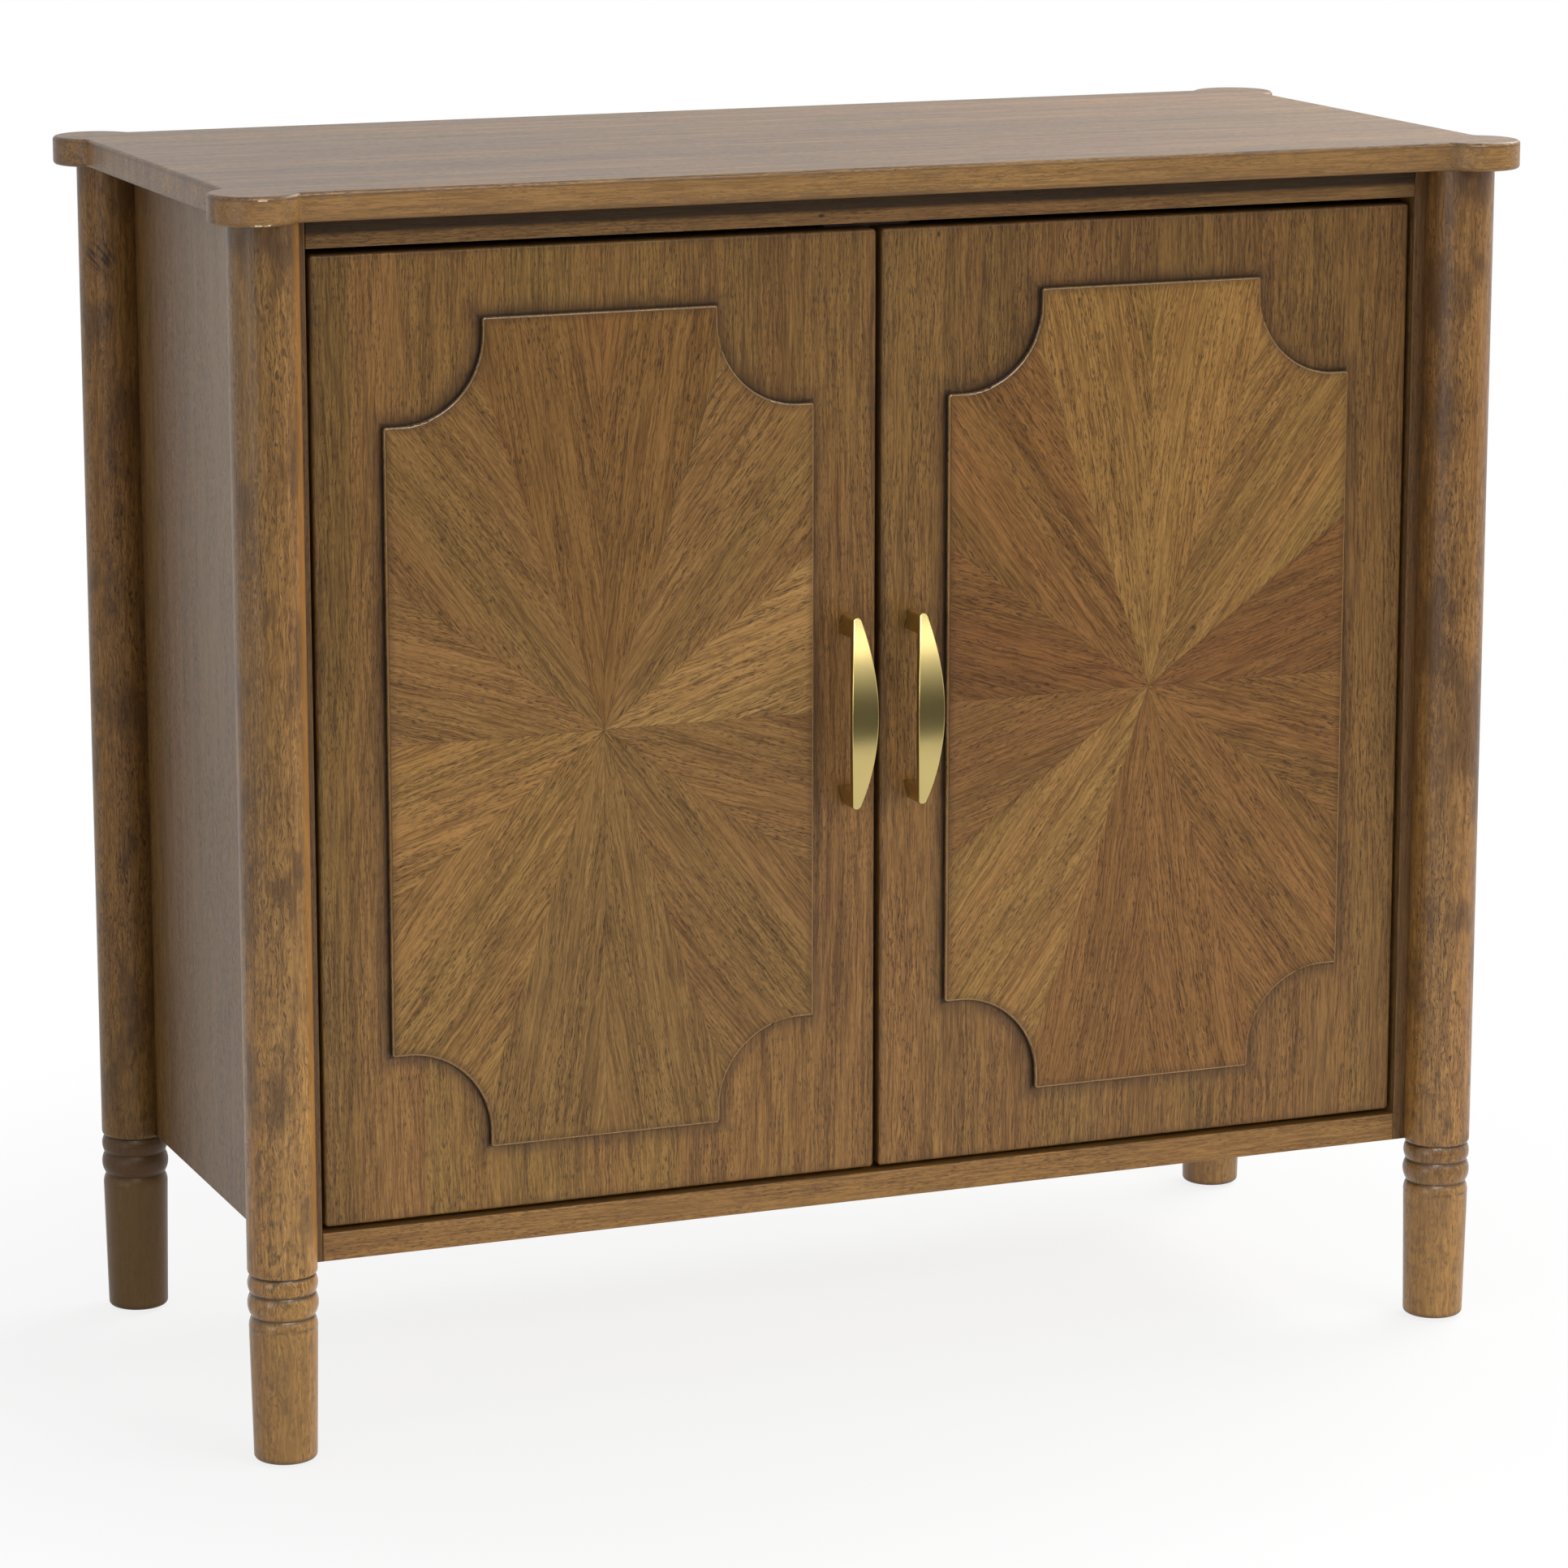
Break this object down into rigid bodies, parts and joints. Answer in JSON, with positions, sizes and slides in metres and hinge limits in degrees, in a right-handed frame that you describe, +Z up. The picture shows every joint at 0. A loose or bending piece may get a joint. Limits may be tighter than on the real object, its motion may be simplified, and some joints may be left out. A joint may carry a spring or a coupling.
{
  "type": "storage cabinet",
  "caption": "Free-standing storage cabinet with turned round posts, inset hinged doors with raised sunburst-veneered plaques, bow handles and an adjustable shelf.",
  "frame": {"origin": "on the floor, under the middle of the cabinet", "axes": "+Z up, +X to the right of a person who faces the doors, +Y to the back; the doors face -Y"},
  "size_m": [0.9144, 0.4304, 0.827],
  "materials": {
    "case_wood": "satin stain and lacquer",
    "door_wood": "satin stain and lacquer",
    "plaque_wood": "satin stain and lacquer",
    "sunburst_veneer": "satin lacquer",
    "inside_wood": "sealed, unstained",
    "dowel_wood": "plain beech",
    "satin_brass": "brushed and lacquered",
    "hinge_steel": "nickel plated",
    "screw_steel": "zinc plated",
    "catch_plastic": "brown, fine texture",
    "magnet_steel": "plain",
    "glide_plastic": "dark, smooth"
  },
  "bodies": {
    "carcass": {"top_panel": "case_wood", "front_left_post": "case_wood", "front_right_post": "case_wood", "rear_left_post": "case_wood", "rear_right_post": "case_wood", "left_side_panel": "case_wood", "right_side_panel": "case_wood", "bottom_panel": "inside_wood", "bottom_front_rail": "case_wood", "top_front_rail": "case_wood", "top_rear_rail": "inside_wood", "left_top_cleat": "inside_wood", "right_top_cleat": "inside_wood", "back_panel": "inside_wood", "shelf": "inside_wood", "shelf_pins": "hinge_steel", "case_dowels": "dowel_wood", "post_dowels": "dowel_wood", "top_dowels": "dowel_wood", "top_screws": "screw_steel", "cleat_screws": "screw_steel", "back_panel_screws": "screw_steel", "left_lower_hinge_arm": "hinge_steel", "left_upper_hinge_arm": "hinge_steel", "right_lower_hinge_arm": "hinge_steel", "right_upper_hinge_arm": "hinge_steel", "hinge_plates": "hinge_steel", "hinge_plate_screws": "screw_steel", "hinge_arm_screws": "screw_steel", "catch_housing": "catch_plastic", "catch_magnets": "magnet_steel", "catch_screws": "screw_steel", "foot_glides": "glide_plastic"},
    "left_door": {"left_door_board": "door_wood", "left_door_overlay": "plaque_wood", "left_sunburst_veneers": "sunburst_veneer", "left_handle": "satin_brass", "left_handle_screws": "screw_steel", "left_lower_hinge_cup": "hinge_steel", "left_upper_hinge_cup": "hinge_steel", "left_hinge_cup_screws": "screw_steel", "left_hinge_pins": "screw_steel", "left_strike_plate": "hinge_steel", "left_strike_screw": "screw_steel"},
    "right_door": {"right_door_board": "door_wood", "right_door_overlay": "plaque_wood", "right_sunburst_veneers": "sunburst_veneer", "right_handle": "satin_brass", "right_handle_screws": "screw_steel", "right_lower_hinge_cup": "hinge_steel", "right_upper_hinge_cup": "hinge_steel", "right_hinge_cup_screws": "screw_steel", "right_hinge_pins": "screw_steel", "right_strike_plate": "hinge_steel", "right_strike_screw": "screw_steel"}
  },
  "joints": [
    {"name": "left_door_hinge", "type": "hinge", "parent": "carcass", "child": "left_door", "pos_m": [-0.37, -0.157, 0.46675], "axis": [0, 0, -1], "range_deg": [0, 100]},
    {"name": "right_door_hinge", "type": "hinge", "parent": "carcass", "child": "right_door", "pos_m": [0.37, -0.157, 0.46675], "axis": [0, 0, 1], "range_deg": [0, 100]}
  ]
}
